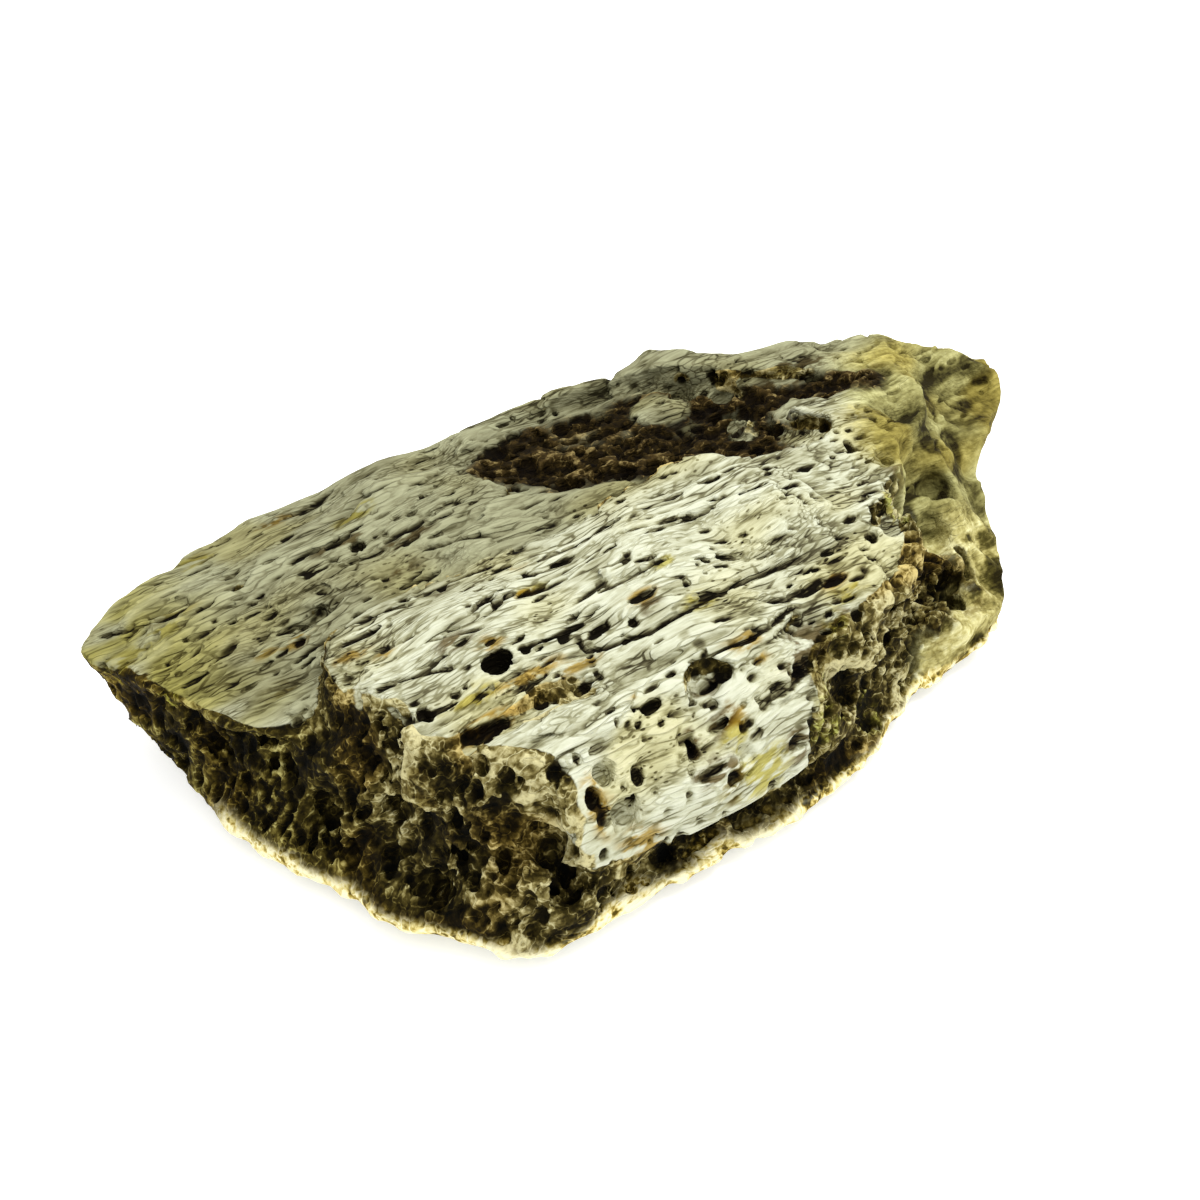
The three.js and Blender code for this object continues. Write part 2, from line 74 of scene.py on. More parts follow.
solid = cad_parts["bone_fragment"].data
corners = np.empty(len(solid.vertices) * 3)
solid.vertices.foreach_get("co", corners)
corners = corners.reshape(-1, 3) / MM
solid.calc_loop_triangles()
faces = np.empty(len(solid.loop_triangles) * 3, np.int32)
solid.loop_triangles.foreach_get("vertices", faces)
grid_step = openvdb.createLinearTransform(voxelSize=VOXEL_MM)
level_set = openvdb.FloatGrid.createLevelSetFromPolygons(
    corners, triangles=faces.reshape(-1, 3), transform=grid_step, halfWidth=BAND_MM / VOXEL_MM)
low, high = level_set.evalActiveVoxelBoundingBox()
smooth_form = np.full([b - a + 1 for a, b in zip(low, high)], level_set.background, np.float32)
level_set.copyToArray(smooth_form, ijk=low)
x_mm, y_mm, z_mm = (
    (np.arange(n, dtype=np.float32) + a) * VOXEL_MM for n, a in zip(smooth_form.shape, low))
X = x_mm[:, None, None]
Y = y_mm[None, :, None]
Z = z_mm[None, None, :]


def blurred(field, reach_mm):
    """The field averaged over about reach_mm, along each way in turn."""
    taps = max(1, round(2 * reach_mm / VOXEL_MM))
    weights = np.exp(-0.5 * (np.arange(-taps, taps + 1) * VOXEL_MM / reach_mm) ** 2)
    weights = (weights / weights.sum()).astype(np.float32)
    for axis in range(field.ndim):
        padded = np.pad(field, [(taps, taps) if a == axis else (0, 0) for a in range(field.ndim)], "edge")
        total = np.zeros_like(field)
        for shift, weight in enumerate(weights):
            part = [slice(None)] * field.ndim
            part[axis] = slice(shift, shift + field.shape[axis])
            total += weight * padded[tuple(part)]
        field = total
    return field


def noise(*cell_mm):
    """Smooth noise over the field, about -1 to 1, with lumps of the given size along X, Y and Z."""
    counts = [int(n * VOXEL_MM / c) + 4 for n, c in zip(smooth_form.shape, cell_mm)]
    values = dice.standard_normal(counts).astype(np.float32)
    for axis, (count, cell) in enumerate(zip(smooth_form.shape, cell_mm)):
        place = np.arange(count) * VOXEL_MM / cell + 1
        left = np.floor(place).astype(int)
        part = (place - left).astype(np.float32)
        shape = [1, 1, 1]
        shape[axis] = count
        part = part.reshape(shape)
        before, here, after = (np.take(values, left + k, axis) for k in (-1, 0, 1))
        values = 0.5 * (1 - part) ** 2 * before
        values += (0.5 + part - part ** 2) * here + 0.5 * part ** 2 * after
    return values / (2 * values.std())


def grain_wave(x):
    return 0.8 * np.sin(x / 9.0) + 0.35 * np.sin(x / 3.7 + 1.0)


def along_grain(field):
    """The field with its straight lines bent to the slight waves of the bone's grain."""
    bent = np.empty_like(field)
    columns = np.arange(field.shape[1])
    for i, x in enumerate(x_mm):
        place = np.clip(columns + grain_wave(x) / VOXEL_MM, 0, field.shape[1] - 1.001)
        left = place.astype(int)
        part = (place - left).astype(np.float32)[:, None]
        bent[i] = field[i, left] * (1 - part) + field[i, left + 1] * part
    return bent


def ramp(value, start, end):
    t = np.clip((value - start) / (end - start), 0, 1)
    return t * t * (3 - 2 * t)


def inside_plan(outline, soft_mm):
    """1 within the outline seen from above and 0 outside it, with a soft edge."""
    px, py = x_mm[:, None], y_mm[None, :]
    inside = np.zeros((len(x_mm), len(y_mm)), bool)
    for (ax, ay), (bx, by) in zip(outline, outline[1:] + outline[:1]):
        if ay != by:
            crosses = (ay > py) != (by > py)
            inside ^= crosses & (px < (bx - ax) * (py - ay) / (by - ay) + ax)
    return blurred(inside.astype(np.float32), soft_mm)[:, :, None]


def box_round(middle, reach):
    """The part of the field within reach of a place in millimetres, and the steps from the place."""
    first = np.maximum(np.floor((np.array(middle) - reach) / VOXEL_MM).astype(int) - np.array(low), 0)
    last = np.ceil((np.array(middle) + reach) / VOXEL_MM).astype(int) - np.array(low) + 1
    part = tuple(slice(a, max(a, b)) for a, b in zip(first, last))
    dx = x_mm[part[0]][:, None, None] - middle[0]
    dy = y_mm[part[1]][None, :, None] - middle[1]
    dz = z_mm[part[2]][None, None, :] - middle[2]
    return part, dx, dy, dz


def near(spots):
    """1 at each of the spots and 0 beyond it. A spot is x, y, z and its length, width and height."""
    nearness = np.zeros_like(smooth_form)
    for px, py, pz, length, width, height in spots:
        part, dx, dy, dz = box_round((px, py, pz), np.array((length, width + 0.3 * length, height)) * 0.7)
        away = (2 * dx / length) ** 2 + (2 * dy / width) ** 2 + (2 * dz / height) ** 2
        nearness[part] = np.maximum(nearness[part], ramp(1.4 - away, 0, 1))
    return nearness


# Where the bone's skin is whole, where its spongy middle shows, and where dark matter fills it.
SLAB_PLAN = [
    (-28.2, -0.4), (-29.6, -3.6), (-29.9, -6.1), (-28.9, -8.3), (-28.3, -11.3), (-28.6, -13.0),
    (-26.9, -14.3), (-25.9, -16.2), (-23.6, -17.6), (-22.2, -19.6), (-22.4, -26.7), (-3.4, -26.7),
    (-2.9, -21.7), (-3.0, -19.9), (-0.8, -18.4), (2.6, -18.6), (5.6, -18.0), (8.4, -16.8), (10.8, -15.1),
    (12.0, -13.4), (14.0, -11.0), (20.0, -9.4), (26.0, -5.0), (30.0, -1.0), (29.0, 4.0), (-10.0, 1.0),
]
SHELF_PLAN = [
    (-43.0, 14.0), (-41.2, 11.8), (-38.6, 8.1), (-37.5, 5.4), (-36.5, 1.9), (-34.6, -2.3), (-30.1, -4.0),
    (-27.0, -0.4), (-10.0, -1.6), (6.0, 0.6), (27.0, 1.0), (36.0, -4.0), (44.0, -4.0), (44.0, 24.0),
    (-40.0, 24.0),
]
TROUGH_PLAN = [
    (-9.7, 11.2), (-8.6, 7.3), (-8.2, 5.3), (-5.4, 2.8), (-2.6, 2.2), (1.7, 0.2), (4.8, -1.5), (7.3, -3.7),
    (10.5, -4.3), (14.2, -3.2), (15.4, -1.9), (13.4, -0.3), (12.7, 1.7), (15.2, 2.5), (17.6, 1.1),
    (20.6, 0.0), (24.1, 0.4), (26.7, 2.5), (24.0, 4.9), (19.5, 6.3), (16.0, 7.7), (12.8, 9.5),
    (9.8, 11.0), (7.1, 12.4), (2.2, 13.5), (-2.4, 14.2), (-6.2, 13.6), (-8.9, 11.9),
]
LOBE_PLAN = [  # the smooth, rounded right end
    (25.0, 6.0), (20.0, 2.0), (17.0, -4.0), (15.0, -8.5), (19.6, -12.0), (21.6, -15.0), (44.0, -20.0),
    (44.0, 10.0),
]
LOW_LOBE_PLAN = [  # the yellowish foot of the right end
    (9.0, -19.5), (12.5, -16.6), (17.0, -14.6), (21.0, -13.2), (23.0, -11.0), (44.0, -11.0), (44.0, -24.0),
    (9.0, -24.0),
]
ISLAND = [(7.6, 8.9, 14.0, 5.4, 4.2, 4.0)]

SKIN_FROM_MM = 8  # the pale skin of the top starts at about this height
TROUGH_FROM_MM = 9.5
FACET_FOOT_MM = 6.5  # the bent front's lower edge at its left end, from where it falls to the right
FACET_FALL = 0.128
RIM_MM = 1.15  # the band along the lowest edge, painted bright as if lit from the pale floor beneath, is about this tall
form = blurred(smooth_form, 0.28)
broad_form = blurred(smooth_form, 1.6)
upward = np.zeros_like(form)
upward[:, :, 1:-1] = (form[:, :, 2:] - form[:, :, :-2]) / (2 * VOXEL_MM)
patchy = noise(2.2, 1.6, 1.6)
skin_plan = np.maximum(inside_plan(SLAB_PLAN, 0.3), inside_plan(SHELF_PLAN, 0.3))
top_skin = ramp(upward + 0.2 * patchy + 0.5 * ramp(Y, 7, 11), 0.3, 0.6)
top_skin = top_skin * ramp(skin_plan + 0.3 * patchy, 0.35, 0.65) * ramp(Z, SKIN_FROM_MM, SKIN_FROM_MM + 1)
facet_foot = FACET_FOOT_MM - FACET_FALL * (X + 21.7) + 0.5 * patchy
facet = ramp(X + 0.7 * patchy, -23.0, -21.8) * ramp(-X, 3.0, 4.6)
facet = facet * ramp(-Y, 18, 19.5) * ramp(Z - facet_foot, -0.3, 0.4)
low_lobe = inside_plan(LOW_LOBE_PLAN, 0.5) * ramp(-Z - 0.5 * patchy, -6.2, -5.2)
lobe = np.maximum(inside_plan(LOBE_PLAN, 0.8), low_lobe) * ramp(Z + patchy, 1.0, 2.2)
under_skin = ramp(-upward, 0.5, 0.8) * ramp(-Z, -3.5, -2.5)
inner = smooth_form < 0.3
underside = np.where(inner.any(axis=2), z_mm[inner.argmax(axis=2)], 9.0)
rows, columns = underside.shape
for _ in range(5):
    padded = np.pad(underside, 1, "edge")
    underside = np.minimum.reduce([padded[a:a + rows, b:b + columns] for a in range(3) for b in range(3)])
rise = Z - blurred(underside.astype(np.float32), 0.6)[:, :, None]
# The band along the lowest edge, painted bright further on as if lit from the pale floor beneath.
lit_rim = ramp(-rise - 0.4 * patchy, -RIM_MM - 0.3, -RIM_MM + 0.3) * ramp(-Z, -5.5, -4.0) * ramp(-Y, -2.5, 1.0)
island = near(ISLAND)
in_fill = inside_plan(TROUGH_PLAN, 0.25) * ramp(Z, TROUGH_FROM_MM, TROUGH_FROM_MM + 1)
in_fill = in_fill * (1 - ramp(island + 0.3 * patchy, 0.3, 0.6))
in_fill = in_fill * (1 - ramp(smooth_form - broad_form + 0.1 * patchy, 0.1, 0.4))
skin = np.maximum(np.maximum(top_skin, facet), np.maximum(under_skin, island)) * (1 - in_fill)
lobe = lobe * (1 - skin)
spongy = (1 - skin) * (1 - in_fill) * (1 - 0.8 * lit_rim) * (1 - lobe)

# The grain of the skin is long lens-shaped ridges between narrow cracks. The breaks are crumbs with
# thin walls of broken cells, and the fill of the trough is clods.
lenses = along_grain(noise(3.6, 0.8, 0.9))
cracks = np.exp(-(lenses / 0.1) ** 2) * ramp(along_grain(noise(5.0, 2.0, 2.0)), -0.05, 0.3)
fibres = along_grain(noise(2.0, 0.5, 0.5))
skin_relief = 0.28 * cracks - 0.16 * np.abs(lenses) + 0.1 * fibres + 0.06
walls = np.abs(noise(1.1, 1.0, 0.9))
fine_walls = np.abs(noise(0.6, 0.6, 0.6))
crumbs = 0.32 * noise(2.4, 2.1, 1.8) + 0.45 * np.minimum(walls, 0.6)
crumbs = crumbs + 0.35 * np.minimum(fine_walls, 0.5) - 0.25
clods = 0.3 * noise(1.7, 1.2, 1.2) + 0.45 * np.minimum(np.abs(noise(1.0, 0.7, 0.7)), 0.5) - 0.1
RIB_STEP_MM = 0.95
rib_zone = ramp(X, 9, 12) * ramp(-X, -21, -18) * ramp(-Y, 4, 7)
ribs = rib_zone * np.sin((0.65 * X + 0.76 * Y + 0.12 * Z) * 2 * np.pi / RIB_STEP_MM + 2.0 * patchy)
belly = ramp(-upward, 0.3, 0.6)
bone_field = form + skin * skin_relief * (1 - 0.6 * belly)
calm = 1 - 0.5 * rib_zone - 0.4 * ramp(-X, 31, 35)
bone_field += spongy * np.maximum(crumbs * calm + 0.3 * ribs, -0.3)
bone_field += in_fill * np.maximum(clods, -0.4)
bone_field += lobe * (0.3 * np.maximum(crumbs, -0.3) + 0.12 * along_grain(noise(1.6, 0.7, 0.7)))
bone_field += lit_rim * (1 - skin) * (0.22 * noise(0.9, 0.8, 0.6) - 0.18)


def cut_pores(field, places, lengths, widths, depths):
    """Cuts a long round-ended pore at each place, lying along the grain."""
    for middle, length, width, depth in zip(places, lengths, widths, depths):
        reach = np.array((length, width + 0.25 * length, depth)) / 2 + 2 * VOXEL_MM
        part, dx, dy, dz = box_round(middle, reach)
        dy = dy - dx * (grain_wave(middle[0] - 0.5) - grain_wave(middle[0] + 0.5))
        away = np.sqrt((2 * dx / length) ** 2 + (2 * dy / width) ** 2 + (2 * dz / depth) ** 2)
        wall = (1 - away) * min(width, depth, length) / 2
        field[part] = np.maximum(field[part], wall)


def scattered(zone, count):
    """Places near the surface of the form where the zone's value is high, and not on thin edges."""
    spots = np.argwhere((np.abs(smooth_form) < 0.75 * VOXEL_MM) & (zone > 0.5) & (broad_form < 0.4))
    chosen = spots[dice.integers(0, len(spots), count)]
    return (chosen + np.array(low) + dice.uniform(-0.5, 0.5, chosen.shape)) * VOXEL_MM


# The larger pores and cracks, where the photo shows them. A pore is the x and y of its middle, its
# length along the grain and its width, all in pixels of the photo, 1200 wide; a crack is its points.
PHOTO_PIXELS = 1200
PX_PER_MM_ALONG = 10.9
PX_PER_MM_ACROSS = 8.6
PORE_SHARE = 0.85  # a pore cut this share of its seen width looks as wide once its rims are worn
SHELF_PORES = [
    (273, 513, 12, 4), (311, 508, 28, 6), (330, 494, 12, 3), (338, 543, 26, 8), (303, 556, 34, 6),
    (358, 546, 13, 13), (270, 560, 15, 7), (245, 557, 18, 5), (306, 571, 17, 5), (217, 573, 12, 3),
    (235, 575, 10, 3), (243, 581, 14, 3), (385, 578, 8, 6), (190, 599, 9, 6), (207, 594, 14, 6),
    (333, 601, 18, 5), (367, 599, 9, 6), (252, 614, 20, 5), (270, 614, 14, 7), (310, 609, 14, 5),
    (232, 621, 8, 7), (202, 634, 26, 5), (262, 637, 18, 5), (305, 627, 10, 5), (285, 624, 10, 3),
    (300, 642, 12, 5), (172, 613, 28, 9), (108, 635, 7, 5), (127, 636, 8, 5), (152, 605, 22, 4),
    (195, 653, 14, 4), (224, 653, 22, 5), (230, 646, 20, 3), (195, 680, 26, 4), (231, 684, 18, 5),
    (247, 687, 20, 5), (276, 673, 8, 3), (168, 663, 7, 5), (177, 672, 9, 4), (108, 656, 6, 4),
    (167, 590, 18, 3), (455, 531, 16, 8), (438, 533, 10, 4), (450, 494, 12, 5), (472, 502, 10, 4),
    (461, 513, 16, 4), (396, 517, 10, 5), (385, 532, 6, 5), (375, 536, 6, 4), (412, 527, 30, 6),
    (395, 537, 26, 6), (411, 541, 18, 7), (480, 512, 12, 4), (520, 505, 14, 4), (560, 512, 12, 4),
    (498, 530, 16, 4), (540, 528, 14, 5), (590, 505, 16, 4), (620, 500, 12, 5),
]
SLAB_PORES = [
    (362, 637, 38, 7), (379, 648, 10, 5), (384, 686, 18, 6), (425, 664, 18, 3), (438, 660, 18, 3),
    (461, 641, 14, 6), (502, 567, 24, 7), (530, 574, 16, 8), (557, 574, 30, 5), (553, 584, 30, 5),
    (562, 563, 26, 6), (585, 594, 44, 6), (606, 582, 12, 5), (608, 548, 18, 5), (627, 553, 8, 5),
    (642, 595, 26, 7), (497, 603, 10, 8), (508, 596, 16, 6), (468, 606, 6, 5), (427, 600, 18, 3),
    (532, 591, 34, 6), (598, 630, 24, 8), (633, 622, 8, 7), (588, 615, 26, 3), (490, 641, 11, 5),
    (694, 752, 8, 26),
    (497, 666, 27, 17), (526, 685, 44, 6), (484, 733, 50, 10), (442, 744, 13, 10), (431, 714, 28, 5),
    (415, 702, 10, 5), (456, 694, 10, 6), (657, 668, 26, 5), (676, 654, 10, 4), (702, 652, 9, 4),
    (680, 576, 12, 4), (687, 583, 8, 5), (708, 688, 18, 7), (707, 702, 13, 6), (650, 708, 21, 8),
    (678, 699, 22, 5), (516, 727, 5, 4), (522, 708, 8, 6), (530, 725, 20, 3), (598, 747, 18, 7),
    (577, 759, 6, 8), (616, 722, 5, 5), (644, 738, 7, 4), (668, 767, 11, 4), (708, 480, 23, 8),
    (663, 476, 8, 5), (768, 473, 8, 5), (850, 446, 9, 14), (669, 520, 22, 5), (694, 517, 36, 4),
    (705, 530, 11, 5), (778, 538, 32, 5), (743, 534, 11, 4), (728, 557, 28, 7), (850, 518, 16, 7),
    (871, 537, 12, 10), (828, 552, 16, 6), (837, 558, 24, 5), (813, 570, 15, 5), (852, 563, 32, 4),
    (834, 578, 27, 9), (889, 587, 6, 7), (808, 592, 22, 5), (724, 617, 24, 5), (748, 627, 10, 3),
    (784, 684, 25, 7), (722, 724, 28, 6), (744, 727, 8, 7), (757, 736, 14, 6), (756, 757, 6, 8),
    (712, 772, 30, 7), (735, 778, 13, 9), (726, 816, 8, 8), (760, 660, 14, 6), (745, 668, 12, 4),
    (820, 640, 12, 5), (700, 560, 12, 4), (660, 560, 16, 5), (480, 590, 10, 4), (565, 640, 12, 4),
    (540, 650, 10, 3), (620, 668, 12, 3), (600, 700, 14, 3), (560, 700, 12, 4), (750, 500, 18, 3),
    (790, 495, 24, 3), (820, 500, 14, 4), (880, 512, 10, 6), (916, 448, 12, 5), (888, 462, 13, 9),
]
FACET_PORES = [
    (638, 775, 12, 11), (623, 787, 5, 5), (630, 799, 10, 6), (594, 799, 13, 16), (605, 817, 14, 10),
    (622, 830, 9, 6), (655, 790, 6, 5), (690, 795, 7, 6), (668, 812, 9, 5), (700, 822, 8, 5),
    (650, 840, 7, 5),
]
BREAK_HOLES = [
    (412, 845, 10, 9), (440, 848, 9, 9), (444, 888, 9, 9), (475, 875, 10, 9), (504, 866, 9, 9),
    (502, 925, 9, 8),
    (550, 850, 22, 18), (565, 868, 14, 12), (425, 714, 11, 14), (330, 690, 12, 8), (482, 765, 10, 12),
    (848, 690, 26, 16), (878, 694, 26, 12), (862, 704, 9, 9), (826, 712, 7, 12), (900, 660, 14, 9),
    (911, 647, 12, 13), (952, 604, 14, 26), (930, 580, 10, 18), (968, 566, 15, 44), (800, 740, 20, 7),
    (945, 630, 10, 10), (890, 640, 12, 10), (802, 668, 20, 8), (250, 745, 12, 10), (300, 760, 12, 9),
    (350, 790, 10, 9), (390, 830, 12, 9), (330, 820, 9, 8), (280, 800, 9, 9), (460, 905, 9, 8),
    (530, 900, 10, 10), (918, 562, 12, 16), (924, 598, 14, 16), (946, 580, 10, 20), (906, 622, 14, 10),
    (948, 622, 14, 10), (882, 655, 16, 9), (930, 640, 12, 9), (900, 690, 16, 10), (870, 720, 18, 9),
    (600, 880, 30, 10), (650, 858, 34, 8), (700, 840, 34, 8), (750, 818, 34, 8),
]
CRACKS = [
    [(310, 650), (345, 625), (380, 612), (404, 605)],
    [(352, 562), (381, 551)],
    [(402, 588), (438, 573)],
    [(421, 594), (450, 580), (489, 566)],
    [(425, 548), (459, 539), (490, 534)],
    [(103, 635), (130, 628), (160, 618)],
    [(579, 641), (586, 649), (610, 646), (652, 630), (680, 613), (700, 601), (736, 584), (760, 574),
     (800, 556)],
    [(590, 655), (595, 668), (601, 678), (612, 689), (616, 678)],
    [(752, 648), (775, 637), (800, 614)],
    [(742, 640), (770, 625), (792, 606)],
    [(650, 530), (680, 522), (712, 507)],
    [(430, 640), (455, 632), (480, 628)],
    [(520, 648), (550, 640), (580, 625)],
    [(400, 680), (430, 672), (450, 668)],
    [(500, 540), (530, 532), (560, 520)],
    [(640, 760), (665, 750), (690, 735), (692, 772)],
    [(600, 590), (630, 575), (655, 560)],
    [(690, 660), (720, 650), (745, 640)],
    [(760, 700), (785, 690), (800, 676)],
    [(780, 600), (800, 590), (818, 580)],
    [(540, 560), (570, 548), (600, 530)],
]
solid_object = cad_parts["bone_fragment"]
picture_right = camera.rotation_euler.to_matrix() @ Vector((1, 0, 0))
picture_up = camera.rotation_euler.to_matrix() @ Vector((0, 1, 0))


def seen_at(px, py):
    """The place on the bone, in millimetres, that the photo shows at a pixel, or None beside the bone."""
    focal_px = camera.data.lens / 36 * PHOTO_PIXELS
    ray = -way_back * focal_px + picture_right * (px - PHOTO_PIXELS / 2)
    ray = ray - picture_up * (py - PHOTO_PIXELS / 2)
    hit, place, _, _ = solid_object.ray_cast(camera.location, ray.normalized())
    return np.array(place) / MM if hit else None


def cut_seen(pores, depth_share):
    """Cuts the pores that the photo shows, each as deep as a share of its width."""
    for px, py, length_px, width_px in pores:
        middle = seen_at(px, py)
        if middle is not None:
            length, width = length_px / PX_PER_MM_ALONG, PORE_SHARE * width_px / PX_PER_MM_ACROSS
            cut_pores(bone_field, [middle], [length], [width], [max(0.7, depth_share * min(width, length))])


uncut_field = bone_field.copy()
cut_seen(SHELF_PORES, 1.6)
cut_seen(SLAB_PORES, 1.6)
cut_seen(FACET_PORES, 1.6)
cut_seen(BREAK_HOLES, 2.0)
CRACK_WIDTH_MM = 0.36
CRACK_DEPTH_MM = 1.0
for crack in CRACKS:
    for (ax, ay), (bx, by) in zip(crack, crack[1:]):
        for share in np.linspace(0, 1, max(2, int(math.hypot(bx - ax, by - ay) / 3))):
            middle = seen_at(ax + (bx - ax) * share, ay + (by - ay) * share)
            if middle is not None:
                cut_pores(bone_field, [middle], [0.6], [CRACK_WIDTH_MM], [CRACK_DEPTH_MM])

TOP_SLOTS = 620
TOP_HOLES = 60
FACET_HOLES = 40
BELLY_SLOTS = 700
SPONGY_CELLS = 2600
FILL_CELLS = 420
top = np.maximum(top_skin, 0.4 * lobe) * (1 - in_fill)
for zone, count, narrowest, widest, shortest, longest in (
        (top, TOP_SLOTS, 0.28, 0.45, 1.6, 6.0),
        (top, TOP_HOLES, 0.4, 0.7, 1.0, 2.0),
        (facet, FACET_HOLES, 0.3, 0.6, 1.0, 1.8),
        (under_skin * skin, BELLY_SLOTS, 0.4, 0.6, 2.0, 5.0),
        (spongy, SPONGY_CELLS, 0.35, 0.95, 1.0, 1.7),
        (in_fill, FILL_CELLS, 0.5, 1.2, 1.0, 2.0)):
    widths = narrowest + (widest - narrowest) * dice.random(count) ** 2
    lengths = widths * dice.uniform(shortest, longest, count)
    cut_pores(bone_field, scattered(zone, count), lengths, widths, 2.0 * widths)

# The field's own skin becomes the mesh. What the pores have cut loose or closed in is left out.
shell = openvdb.FloatGrid(BAND_MM)
bone_field[[0, -1]] = BAND_MM
bone_field[:, [0, -1]] = BAND_MM
bone_field[:, :, [0, -1]] = BAND_MM
shell.copyFromArray(bone_field, ijk=low)
shell.transform = grid_step
points, _, quads = shell.convertToPolygons(isovalue=0.0, adaptivity=0.0)
quads = quads.astype(np.int64)
label = np.arange(len(points))
edges = np.concatenate([quads[:, [0, 1]], quads[:, [1, 2]], quads[:, [2, 3]]])
while True:
    lowest = np.minimum(label[edges[:, 0]], label[edges[:, 1]])
    before = label.copy()
    np.minimum.at(label, edges[:, 0], lowest)
    np.minimum.at(label, edges[:, 1], lowest)
    label = label[label]
    if (label == before).all():
        break
main_label = np.bincount(label).argmax()
quads = quads[label[quads[:, 0]] == main_label]
kept = np.flatnonzero(label == main_label)
renumber = np.zeros(len(points), np.int64)
renumber[kept] = np.arange(len(kept))
quads = renumber[quads]

mesh = bpy.data.meshes.new("fossil_bone")
mesh.vertices.add(len(kept))
mesh.vertices.foreach_set("co", (points[kept] * MM).astype(np.float32).ravel())
mesh.loops.add(4 * len(quads))
mesh.loops.foreach_set("vertex_index", quads[:, ::-1].astype(np.int32).ravel())
mesh.polygons.add(len(quads))
mesh.polygons.foreach_set("loop_start", np.arange(len(quads), dtype=np.int32) * 4)
mesh.update(calc_edges=True)
bone = bpy.data.objects.new("fossil_bone", mesh)
bpy.context.scene.collection.objects.link(bone)
thin = bone.modifiers.new("thin", "DECIMATE")
thin.ratio = min(1, MOST_TRIANGLES / (2 * len(quads)))
bpy.context.view_layer.objects.active = bone
bone.select_set(True)
bpy.ops.object.modifier_apply(modifier="thin")
mesh = bone.data
mesh.polygons.foreach_set("use_smooth", np.ones(len(mesh.polygons), bool))

# What the material needs to know of each point: how deep it lies in a pore or hollow, and its zone.
flesh = np.empty(len(mesh.vertices) * 3, np.float32)
mesh.vertices.foreach_get("co", flesh)
flesh = flesh.reshape(-1, 3) / MM


def sampled(field):
    """The field's value at each vertex of the mesh."""
    field = np.broadcast_to(field, bone_field.shape)
    place = np.clip(flesh / VOXEL_MM - np.array(low), 0, np.array(field.shape) - 1.001)
    base = place.astype(int)
    part = place - base
    total = np.zeros(len(flesh))
    for corner in np.ndindex(2, 2, 2):
        weight = np.prod(np.where(corner, part, 1 - part), axis=1)
        total += weight * field[tuple((base + corner).T)]
    return total


def mark(name, values):
    attribute = mesh.attributes.new(name, "FLOAT", "POINT")
    attribute.data.foreach_set("value", np.clip(values, 0, 1).astype(np.float32))


def rank_within(zone, values, areas):
    """Where each value comes in its zone of the surface, from 0, the lowest, to 1, the highest."""
    order = np.argsort(values)
    share = np.cumsum((zone * areas)[order])
    ranks = np.empty(len(values))
    ranks[order] = share / share[-1]
    return ranks


polygon_areas = np.empty(len(mesh.polygons), np.float32)
mesh.polygons.foreach_get("area", polygon_areas)
corner_counts = np.empty(len(mesh.polygons), np.int32)
mesh.polygons.foreach_get("loop_total", corner_counts)
corner_points = np.empty(len(mesh.loops), np.int32)
mesh.loops.foreach_get("vertex_index", corner_points)
areas = np.bincount(corner_points, np.repeat(polygon_areas / corner_counts, corner_counts), len(flesh))

# Painted shade and highlights: the colour is made darker where a point lies deep in a pore or hollow and
# lighter on crests.
hollowness = sampled(blurred(np.clip(bone_field, -1, 1), 0.3))
depth = sampled(np.clip(form, -2, 2))
mark("pore", ramp(-sampled(np.clip(uncut_field, -2, 2)), 0.1, 0.4))
zones = {name: sampled(field) for name, field in (
    ("spongy", spongy), ("fill", in_fill), ("lobe", lobe), ("lit_rim", lit_rim * (1 - skin)))}
zones["skin"] = np.clip(1 - sum(zones.values()), 0, 1)
heights = sum(zone * rank_within(zone, hollowness + 0.35 * depth, areas) for zone in zones.values())
mark("height", heights / np.maximum(sum(zones.values()), 0.01))
for name, zone in zones.items():
    mark(name, zone)
mark("shelf", sampled(inside_plan(SHELF_PLAN, 0.8)))
mark("tip", ramp(-flesh[:, 0], 28, 38))
# Tone by place: the breaks are paler under the slab, at the front corner and on the right, and darker
# on the far left and in the gully of the right end, whose foot is yellow and painted brighter, as if lit
# from the pale floor. The skin is a little duller on the right.
under_slab = ramp(flesh[:, 2], 8.5, 12) * ramp(flesh[:, 0], -32, -29)
corner = ramp(flesh[:, 0], -26.5, -23.5) * ramp(-flesh[:, 1], 15, 18) * ramp(flesh[:, 2], 4, 7)
mark("paler", np.maximum(np.maximum(ramp(flesh[:, 0], 2, 9), 0.9 * under_slab), corner))
mark("darker", ramp(-flesh[:, 0], 29, 34))
mark("duller", ramp(flesh[:, 0], -12, 4))
mark("gully", ramp(flesh[:, 0], 5, 9) * ramp(-flesh[:, 2], -12.5, -10))
mark("yellow_and_lit_end", ramp(flesh[:, 0], 9, 13) * ramp(-flesh[:, 1], 8.5, 11.5))
mark("facet", sampled(facet))
# Broad patches of tone, each with the length, width and height of its lumps in millimetres.
for name, *cell_mm in (
        ("cloud", 5.0, 1.6, 1.6), ("lumps", 1.8, 1.4, 1.4), ("warm", 5.0, 3.0, 3.0), ("spots", 2.0, 1.3, 1.3),
        ("busy", 3.0, 1.1, 1.1)):
    mark(name, 0.5 + 0.22 * sampled(along_grain(noise(*cell_mm))))
mark("olive_end", sampled(inside_plan(LOBE_PLAN, 3.0)))

